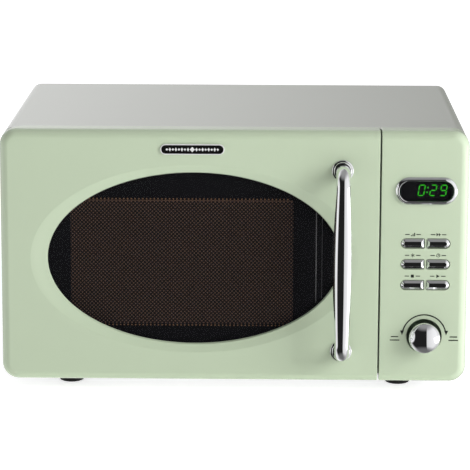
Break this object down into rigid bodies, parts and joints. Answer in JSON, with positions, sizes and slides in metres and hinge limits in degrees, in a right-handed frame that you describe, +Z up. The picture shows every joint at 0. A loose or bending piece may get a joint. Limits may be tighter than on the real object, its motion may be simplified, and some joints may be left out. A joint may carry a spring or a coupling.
{
  "type": "countertop microwave oven",
  "caption": "Countertop microwave oven in pale green: side-hinged door with an oval window and a bowed chrome handle, a display, chrome push buttons and a domed knob.",
  "frame": {"origin": "bottom centre of the bounding box, on the worktop under the oven", "axes": "+X to the right of someone facing the door, +Y from the door to the back, +Z up"},
  "size_m": [0.452, 0.3698, 0.262],
  "materials": {
    "front_plastic": "glossy pale green",
    "cabinet_paint": "glossy pale grey with a hint of green",
    "chrome": "mirror bright",
    "black_plastic": "satin",
    "badge_enamel": "glossy black",
    "black_rubber": "matte",
    "tinted_glass": "clear, dark tint",
    "tray_glass": "clear",
    "screen_steel": "dark brown, satin",
    "zinc_steel": "zinc plated",
    "cavity_enamel": "light grey, semi-gloss",
    "laminated_steel": "varnished laminations",
    "white_plastic": "satin",
    "circuit_board": "satin",
    "mica": "matte",
    "aluminium": "satin",
    "dark_plastic": "satin dark green"
  },
  "bodies": {
    "chassis": {"control_panel": "front_plastic", "outer_cabinet": "cabinet_paint", "display_bezel": "chrome", "display_module": "black_plastic", "cord_gland": "black_plastic", "interlock_switch_upper": "black_plastic", "interlock_switch_middle": "black_plastic", "interlock_switch_lower": "black_plastic", "foot_front_left": "black_rubber", "foot_front_right": "black_rubber", "foot_back_left": "black_rubber", "foot_back_right": "black_rubber", "display_lens": "tinted_glass", "base_pan": "zinc_steel", "rear_panel": "zinc_steel", "hinge_bracket_top": "zinc_steel", "hinge_bracket_bottom": "zinc_steel", "turntable_motor": "zinc_steel", "waveguide": "zinc_steel", "cavity_front_plate": "cavity_enamel", "cavity_liner": "cavity_enamel", "power_transformer": "laminated_steel", "fan_motor": "laminated_steel", "fan_shroud": "white_plastic", "cavity_lamp": "white_plastic", "latch_board": "white_plastic", "control_board": "circuit_board", "filter_board": "circuit_board", "waveguide_cover": "mica", "magnetron": "aluminium", "hv_capacitor": "aluminium", "knob_well": "dark_plastic"},
    "door": {"door_frame": "front_plastic", "door_glass": "tinted_glass", "door_screen": "screen_steel", "choke_frame": "zinc_steel", "choke_cover": "black_plastic", "handle_bar": "chrome", "handle_rosette_top": "chrome", "handle_rosette_bottom": "chrome", "nameplate": "badge_enamel", "hinge_pin_top": "zinc_steel", "hinge_pin_bottom": "zinc_steel", "latch_spring": "zinc_steel"},
    "latch": {"latch_hook": "white_plastic"},
    "knob": {"control_knob": "chrome", "encoder_shaft": "zinc_steel"},
    "coupler": {"turntable_coupler": "white_plastic"},
    "tray": {"glass_tray": "tray_glass"},
    "rollers": {"roller_ring": "white_plastic"},
    "fan": {"fan_blade": "white_plastic"},
    "roller_wheel_1": {"roller_wheel_1": "white_plastic"},
    "roller_wheel_2": {"roller_wheel_2": "white_plastic"},
    "roller_wheel_3": {"roller_wheel_3": "white_plastic"},
    "button_power": {"button_power": "chrome"},
    "button_quick_start": {"button_quick_start": "chrome"},
    "button_defrost": {"button_defrost": "chrome"},
    "button_clock": {"button_clock": "chrome"},
    "button_stop": {"button_stop": "chrome"},
    "button_start": {"button_start": "chrome"}
  },
  "joints": [
    {"name": "door_hinge", "type": "hinge", "parent": "chassis", "child": "door", "pos_m": [-0.2165, -0.13255, 0], "axis": [0, 0, -1], "range_deg": [0, 100]},
    {"name": "latch_lift", "type": "slide", "parent": "door", "child": "latch", "axis": [0, 0, 1], "range_m": [0, 0.004], "stiffness_N_per_m": 400, "springref_m": -0.004},
    {"name": "button_power_press", "type": "slide", "parent": "chassis", "child": "button_power", "axis": [0, 1, 0], "range_m": [0, 0.0015], "stiffness_N_per_m": 500, "springref_m": -0.001},
    {"name": "button_quick_start_press", "type": "slide", "parent": "chassis", "child": "button_quick_start", "axis": [0, 1, 0], "range_m": [0, 0.0015], "stiffness_N_per_m": 500, "springref_m": -0.001},
    {"name": "button_defrost_press", "type": "slide", "parent": "chassis", "child": "button_defrost", "axis": [0, 1, 0], "range_m": [0, 0.0015], "stiffness_N_per_m": 500, "springref_m": -0.001},
    {"name": "button_clock_press", "type": "slide", "parent": "chassis", "child": "button_clock", "axis": [0, 1, 0], "range_m": [0, 0.0015], "stiffness_N_per_m": 500, "springref_m": -0.001},
    {"name": "button_stop_press", "type": "slide", "parent": "chassis", "child": "button_stop", "axis": [0, 1, 0], "range_m": [0, 0.0015], "stiffness_N_per_m": 500, "springref_m": -0.001},
    {"name": "button_start_press", "type": "slide", "parent": "chassis", "child": "button_start", "axis": [0, 1, 0], "range_m": [0, 0.0015], "stiffness_N_per_m": 500, "springref_m": -0.001},
    {"name": "knob_turn", "type": "hinge", "parent": "chassis", "child": "knob", "pos_m": [0.1849, -0.14905, 0.061], "axis": [0, 1, 0], "continuous": true},
    {"name": "turntable_turn", "type": "hinge", "parent": "chassis", "child": "coupler", "pos_m": [-0.05, 0.02785, 0], "axis": [0, 0, 1], "continuous": true},
    {"name": "tray_lift", "type": "slide", "parent": "coupler", "child": "tray", "axis": [0, 0, 1], "range_m": [0, 0.03]},
    {"name": "roller_ring_turn", "type": "hinge", "parent": "chassis", "child": "rollers", "pos_m": [-0.05, 0.02785, 0], "axis": [0, 0, 1], "continuous": true},
    {"name": "roller_wheel_1_spin", "type": "hinge", "parent": "rollers", "child": "roller_wheel_1", "pos_m": [0.03366, 0.07615, 0.0396], "axis": [0.866, 0.5, 0], "continuous": true},
    {"name": "roller_wheel_2_spin", "type": "hinge", "parent": "rollers", "child": "roller_wheel_2", "pos_m": [-0.13366, 0.07615, 0.0396], "axis": [-0.866, 0.5, 0], "continuous": true},
    {"name": "roller_wheel_3_spin", "type": "hinge", "parent": "rollers", "child": "roller_wheel_3", "pos_m": [-0.05, -0.06875, 0.0396], "axis": [0, -1, 0], "continuous": true},
    {"name": "fan_spin", "type": "hinge", "parent": "chassis", "child": "fan", "pos_m": [0.1661, 0.15295, 0.1565], "axis": [0, 1, 0], "continuous": true}
  ],
  "couplings": [
    {"joint": "roller_ring_turn", "follows": "turntable_turn", "ratio": 0.5},
    {"joint": "roller_wheel_1_spin", "follows": "turntable_turn", "ratio": -6.6164},
    {"joint": "roller_wheel_2_spin", "follows": "turntable_turn", "ratio": -6.6164},
    {"joint": "roller_wheel_3_spin", "follows": "turntable_turn", "ratio": -6.6164}
  ]
}
